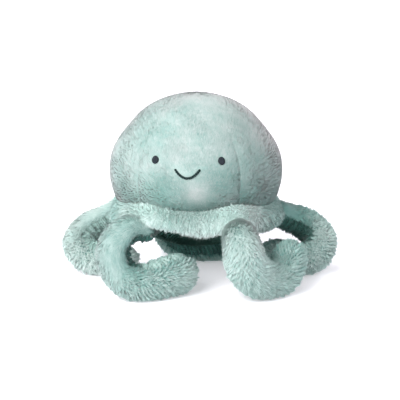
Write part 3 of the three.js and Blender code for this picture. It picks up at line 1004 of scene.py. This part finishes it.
limbs = {
    # the route after the root, and the place that the gathered strip faces, are in millimetres from the
    # head's axis and the floor; shade is the strip's painted shade on limb and foot, then come the plush's
    # painted light and shade at the tone stops, deeper where an arm lies in shade and paler where it is lit,
    # and the reach of the painted shade beside the gathered strip
    "front_left_arm": {
        "tip": 22.5, "plump": 0, "gathered": (-38, -84, 34), "shade": (-6, 4), "paintedLightAndShade": (-1.4, -1, 0),
        "paintedShadeEdge": 0.07, "shaggyFrom": 0.38,
        "route": [(-59, -91, 69), (-69, -96, 58), (-71, -98, 42), (-64, -98, 27), (-47, -95, 18.5),
                  (-29, -86, 20.5), (-14, -71, 21.5)],
    },
    "front_right_arm": {
        "tip": 17.5, "plump": 2, "gathered": (70, -44, 26), "shade": (-1, -1), "paintedLightAndShade": (2.4, -0.6, -2.2),
        "paintedShadeEdge": 0.05, "shaggyFrom": 0.22,
        "route": [(53, -97, 66.5), (57.5, -106.5, 53), (61, -101, 38), (71, -85, 23), (84, -68, 16),
                  (95, -58, 23), (98, -51, 34)],
    },
    "right_arm": {
        "tip": 19, "plump": 0, "gathered": None, "shade": (-4, -4), "paintedLightAndShade": (-6, 0.6, -3),
        "paintedShadeEdge": 0.07, "shaggyFrom": 0.1,
        "route": [(98, 38, 53), (114, 42, 45), (128, 32, 33), (124, 18, 22), (106, 12, 17.6), (85, 24, 19.5)],
    },
    "rear_arm": {
        "tip": 19, "plump": 0, "gathered": (0, 0, 40), "shade": (-6, -6), "paintedLightAndShade": (0, -1, -1.5),
        "paintedShadeEdge": 0.07, "shaggyFrom": 0.3,
        "route": [(-12, 106, 57), (-28, 110, 46), (-38, 100, 33), (-34, 80, 22), (-18, 64, 17.6), (4, 58, 18),
                  (22, 60, 18.6)],
    },
    "left_arm": {
        "tip": 19, "plump": 0, "gathered": (-100, -6, 30), "shade": (6, 6), "paintedLightAndShade": (1.8, 2.2, 2.2),
        "paintedShadeEdge": 0.05, "shaggyFrom": 0.38,
        "route": [(-100, 24, 51), (-116, 18, 42), (-124, 5, 30), (-114, -6, 20.5), (-96, -8, 17.6),
                  (-80, -4, 19)],
    },
}
armPile = {
    "seed": 51, "nap": 1, "density": 3.0, "fibres": 26, "tuftRadius": 3.1, "length": 6.8,
    "lengthSpread": 0.06, "shortest": 0.72, "lean": 49, "leanSpread": 4, "curl": 12, "droop": 0.05,
    "frizz": 7, "sway": 18, "swayLength": 34, "tuftSway": 5, "pull": 0.95, "width": 0.5, "cloud": 0.6,
    "speckle": 0.35, "toneLength": 8, "smoothShade": 0.84, "puff": 0.6, "paintedRootShade": 1.2,
    "floor": arm["floorTips"],
}
footPile = {
    "fade": 0.22,              # share of the arm over which the limb's pile turns into the foot's
    "stand": 0.55,             # how far the fibres come up from their lean
    "standVaries": 0.2,
    "shorten": 0.1,
    "shortenVaries": 0.16,
    "limbPull": 0.3,           # how far tufts are drawn together on the limb
    "roughen": 0.5,
}
gatheredFur = {
    **armPile, "seed": 71, "density": 2.4, "fibres": 8, "tuftRadius": 1.2, "length": 2.6, "lean": 34,
    "curl": 14, "sway": 20, "smoothShade": 0.78,
}


def towardsFoot(v, limb):
    # 0 on the limb, where the pile lies along it, and 1 on the foot, where it stands up in clumps
    return smoothStep(limb["shaggyFrom"], limb["shaggyFrom"] + footPile["fade"], v)


def footShape(limb):
    # towards the foot the fibres stand up, vary from tuft to tuft by sines of u and v, and draw into clumps
    def foot(v):
        return towardsFoot(v, limb)

    def leanAt(u, v):
        return 1 - foot(v) * (footPile["stand"] + footPile["standVaries"] * np.sin(500 * u - 800 * v))

    def lengthAt(u, v):
        return 1 - foot(v) * (footPile["shorten"] + footPile["shortenVaries"] * np.sin(700 * u + 900 * v))

    return {
        "leanAt": leanAt,
        "lengthAt": lengthAt,
        "pullAt": lambda u, v: mixed(footPile["limbPull"], 1, foot(v)),
        "smoothAt": lambda u, v: 1 - footPile["roughen"] * foot(v),
        "toneAt": lambda u, v: limbLightAndShade(u, v, limb),
    }


def smoothRoute(points, steps=60, count=600):
    # centripetal Catmull-Rom: Hermite pieces whose tangents come from the square roots of the gaps,
    # then evened out to equal lengths
    p = np.concatenate([[2 * points[0] - points[1]], points, [2 * points[-1] - points[-2]]])
    gaps = np.sqrt(np.linalg.norm(np.diff(p, axis=0), axis=1))[:, None]
    a, b, c, d = p[:-3], p[1:-2], p[2:-1], p[3:]
    g0, g1, g2 = gaps[:-2], gaps[1:-1], gaps[2:]
    leave = ((b - a) / g0 - (c - a) / (g0 + g1) + (c - b) / g1) * g1
    arrive = ((c - b) / g1 - (d - b) / (g1 + g2) + (d - c) / g2) * g1
    t = np.linspace(0, 1, steps, endpoint=False)[None, :, None]
    b, c, leave, arrive = (x[:, None] for x in (b, c, leave, arrive))
    line = (2 * t**3 - 3 * t**2 + 1) * b + (t**3 - 2 * t**2 + t) * leave
    line = line + (3 * t**2 - 2 * t**3) * c + (t**3 - t**2) * arrive
    line = np.concatenate([line.reshape(-1, 3), points[-1:]])
    run = np.concatenate([[0], np.cumsum(np.linalg.norm(np.diff(line, axis=0), axis=1))])
    even = np.linspace(0, run[-1], count)
    return np.stack([np.interp(even, run, axis) for axis in line.T], 1), run[-1]


def routeOf(name, root):
    # the limb's centre line from its root, with the direction square to it that faces the gathered side
    axis = np.array([headCentre[0], headCentre[1], 0])
    limb = limbs[name]
    points = np.concatenate([[root], axis + np.array(limb["route"]) * mm])
    line, length = smoothRoute(points)
    tangent = unit(np.gradient(line, axis=0))
    curl = axis + np.array(limb["gathered"]) * mm if limb["gathered"] else points.mean(0)
    inner = curl - line
    inner = unit(inner - tangent * (inner * tangent).sum(1, keepdims=True))
    return {"line": line, "length": length, "tangent": tangent, "inner": inner, "tip": limb["tip"] * mm,
            "plump": limb["plump"] * mm}


def armSurface(route, turnAt, insetAt):
    # v runs along the line with a quarter-round at each end, u round the limb between two turns;
    # a point is the line plus the radius towards its turn, and the radius leans over at the ends
    cap = np.radians(arm["capLean"])
    rootCap, tipCap = arm["rootRadius"] * cap, route["tip"] * cap

    def surface(u, v):
        run = -rootCap + v * (rootCap + route["length"] + tipCap)
        share = np.clip(run / route["length"], 0, 1)
        lean = np.clip(run / arm["rootRadius"], -cap, 0)
        lean = lean + np.clip((run - route["length"]) / route["tip"], 0, cap)
        radius = mixed(arm["rootRadius"], arm["limbRadius"], smoothStep(0, arm["swellShare"], share))
        radius = radius + (route["tip"] - arm["limbRadius"]) * smoothStep(arm["tipShare"], 1, share)
        radius = radius + route["plump"] * smoothStep(0, arm["plumpShare"], share) - insetAt(u, share)
        tangent = unit(alongLine(route["tangent"], share))
        inner = alongLine(route["inner"], share)
        inner = unit(inner - tangent * (inner * tangent).sum(-1, keepdims=True))
        ring = turned(inner, np.cross(tangent, inner), turnAt(u))
        across = (radius * np.cos(lean))[..., None]
        onward = (radius * np.sin(lean))[..., None]
        place = alongLine(route["line"], share) + ring * across + tangent * onward
        place[..., 2] = np.maximum(place[..., 2], arm["footHeight"])
        return place

    return surface


def outerTurn(u):
    first = np.radians(arm["innerHalf"] + arm["seamGap"])
    return first + (2 * np.pi - 2 * first) * u


def innerTurn(u):
    return np.radians(arm["innerHalf"]) * (2 * u - 1)


def outerInset(u, share):
    # a dip along both seams
    edge = np.minimum(u, 1 - u)
    return arm["skinDepth"] + arm["seamDip"] * np.exp(-edge / arm["dipFade"])


def innerInset(u, share):
    # deep even gathers with finer ones between, which wander across the strip
    wave = (1 - np.cos(2 * np.pi * arm["gathers"] * share)) / 2
    fine = np.sin(2 * np.pi * arm["fineGathers"] * share + 3 * np.sin(5 * u))
    return arm["skinDepth"] + arm["innerSink"] + arm["gatherDepth"] * wave + arm["fineDepth"] * fine


def limbLightAndShade(u, v, limb):
    # painted light and shade of the limb at its root, middle and tip, deeper where the arm lies in shade, and
    # painted shade deeper towards the gathered strip's two edges
    edge = np.exp(-u / limb["paintedShadeEdge"]) + np.exp(-(1 - u) / arm["seamFade"])
    return np.interp(v, arm["toneStops"], limb["paintedLightAndShade"]) - arm["paintedSeamShade"] * edge


def stripPaintedShade(v, limb):
    # the gathered strip's painted light and shade, one value on the limb and another on the foot
    return mixed(*limb["shade"], smoothStep(*arm["stripFoot"], v))


def paintedGapShade(v, limb):
    # painted shade: deeper towards the foot, darkening the gaps between the clumps
    return arm["paintedBackingShading"] * mixed(arm["limbSkinShare"], 1, towardsFoot(v, limb))


def bendAtRoot(piece, root):
    # works out the way down from the root and a little outwards, and bakes the piece's placing into its mesh
    out = unit(np.array([root[0] - headCentre[0], root[1] - headCentre[1], 0]))
    bend = unit(arm["blendOut"] * out + np.array([0, 0, -1.0]))
    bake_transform(piece)


def makeArms():
    for index, joint in enumerate(frame["joints"]):
        name = joint["child"]
        limb = limbs[name]
        root = rootOf(name)
        route = routeOf(name, root)
        outer = armSurface(route, outerTurn, outerInset)
        inner = armSurface(route, innerTurn, innerInset)
        plush = {**armPile, **footShape(limb), "seed": armPile["seed"] + index}
        gathered = {
            **gatheredFur,
            "seed": gatheredFur["seed"] + index,
            "toneAt": lambda u, v: stripPaintedShade(v, limb),
        }
        # each strip's backing carries painted shade: under the plush it darkens the gaps between clumps,
        # under the gathers it is the strip's painted shade
        strips = {
            "outer": (outer, arm["outerGrid"], plush, limbPile, "plush_cloth", paintedGapShade),
            "inner": (inner, arm["innerGrid"], gathered, shadedGatheredPile, "gathered_cloth", stripPaintedShade),
        }
        for part, (surface, grid, pile, material, slot, paintedBackingShading) in strips.items():
            skin = clothShell(surface, *grid, arm["cloth"], toneAt=lambda u, v: paintedBackingShading(v, limb))
            parts = [skin, growPile(surface, pile)]
            piece = buildPiece(f"{name}_{part}_plush", parts, [gapShadedBacking, material])
            bendAtRoot(piece, root)
            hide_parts(f"{name}_{part}")
        core = closedSurface(armSurface(route, fullTurn, fillingInset), *stuffing["armGrid"])
        filling = buildPiece(f"{name}_filling_fibre", [core], [stuffingFibre])
        bendAtRoot(filling, root)
        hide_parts(f"{name}_filling")


makeArms()
print("arms grown")
makeHeadFilling()
print("stuffing packed")


# Stitches of the face


def threadMaterial(name, look):
    material, shader = newMaterial(name)
    tree = material.node_tree
    shader.inputs["Specular IOR Level"].default_value = look["specular"]
    cloudy = placeCloudy(tree, look)
    gloss = addNode(tree, "ShaderNodeMapRange")
    gloss.inputs["To Min"].default_value = look["glossy"]
    gloss.inputs["To Max"].default_value = look["dull"]
    tree.links.new(cloudy.outputs["Tone"], gloss.inputs["Value"])
    tree.links.new(gloss.outputs["Result"], shader.inputs["Roughness"])
    tree.links.new(cloudy.outputs["Color"], shader.inputs["Base Color"])
    return material


eyeLook = {
    "deep": (20, 25, 30),
    "pale": (38, 46, 52),
    "specular": 0.15,
    "cloudScale": 300,
    "fineScale": 1600,
    "glossy": 0.5,             # roughness where the thread is deep, and where it is pale
    "dull": 0.7,
}
mouthLook = {**eyeLook, "deep": (14, 28, 28), "pale": (28, 48, 46), "glossy": 0.55, "dull": 0.8}

eyeThread = threadMaterial("eyeThread", eyeLook)
mouthYarn = threadMaterial("mouthYarn", mouthLook)


def eyeSurface(node):
    # v runs from the middle of the front over the rim to the middle of the back, u round it;
    # the front is a dome with a ridge for every thread of the satin stitch
    middle = nodeMiddle(node)
    normal = headNormal(middle)
    right = unit(np.cross(np.array([0, 0, 1.0]), normal))
    up = np.cross(normal, right)
    wide, tall = face["eyeHalf"]

    def surface(u, v):
        rim = face["eyeFront"]
        front = v < rim
        overFront = np.sin(np.pi / 2 * np.clip(v / rim, 0, 1))
        overBack = np.clip((1 - v) / (1 - rim), 0, 1) ** 0.5
        radius = np.where(front, overFront, overBack)
        turn = fullTurn(u)
        x = radius * np.cos(turn)
        y = radius * np.sin(turn)
        dome = np.sqrt(np.clip(1 - radius ** 2, 0, 1))
        ridge = face["eyeRidge"] * np.abs(np.sin(np.pi / 2 * face["eyeThreads"] * x)) * np.sqrt(dome)
        sunk = -face["eyeDepth"] * np.clip((v - rim) / face["eyeWall"], 0, 1)
        height = np.where(front, face["eyeDome"] * dome + ridge, sunk)
        place = middle + right * (wide * x)[..., None] + up * (tall * y)[..., None]
        return place + normal * (height - face["eyeSink"])[..., None]

    return surface


def makeFace():
    for node in ("eye_left", "eye_right"):
        eye = buildPiece(node + "_stitches", [closedSurface(eyeSurface(node), *face["eyeGrid"])], [eyeThread])
        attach(eye, "body")
        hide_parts(node)
    line = mouthLine(face["mouthSegments"] + 1, face["stitchSink"])
    tangent = unit(np.gradient(line, axis=0))
    normal = headNormal(line)
    side = unit(np.cross(tangent, normal))

    def surface(u, v):
        # a cord of two plies: the radius swells and thins twice round, and that pattern winds along it
        taper = np.sqrt(np.clip(1 - np.abs(2 * v - 1) ** face["mouthBlunt"], 1e-4, 1))
        turn = fullTurn(u)
        plies = 1 + face["mouthPly"] * np.cos(2 * turn - 2 * np.pi * face["mouthTwists"] * v)
        radius = face["mouthThread"] * taper * plies
        share = np.clip(v, 0, 1)
        ring = turned(alongLine(normal, share), alongLine(side, share), turn)
        return alongLine(line, share) + ring * radius[..., None]

    cord = closedSurface(surface, face["mouthSides"], 3 * face["mouthSegments"])
    mouth = buildPiece("mouth_stitch_thread", [cord], [mouthYarn])
    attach(mouth, "body")
    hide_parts("mouth_stitch")


makeFace()
print("face stitched")
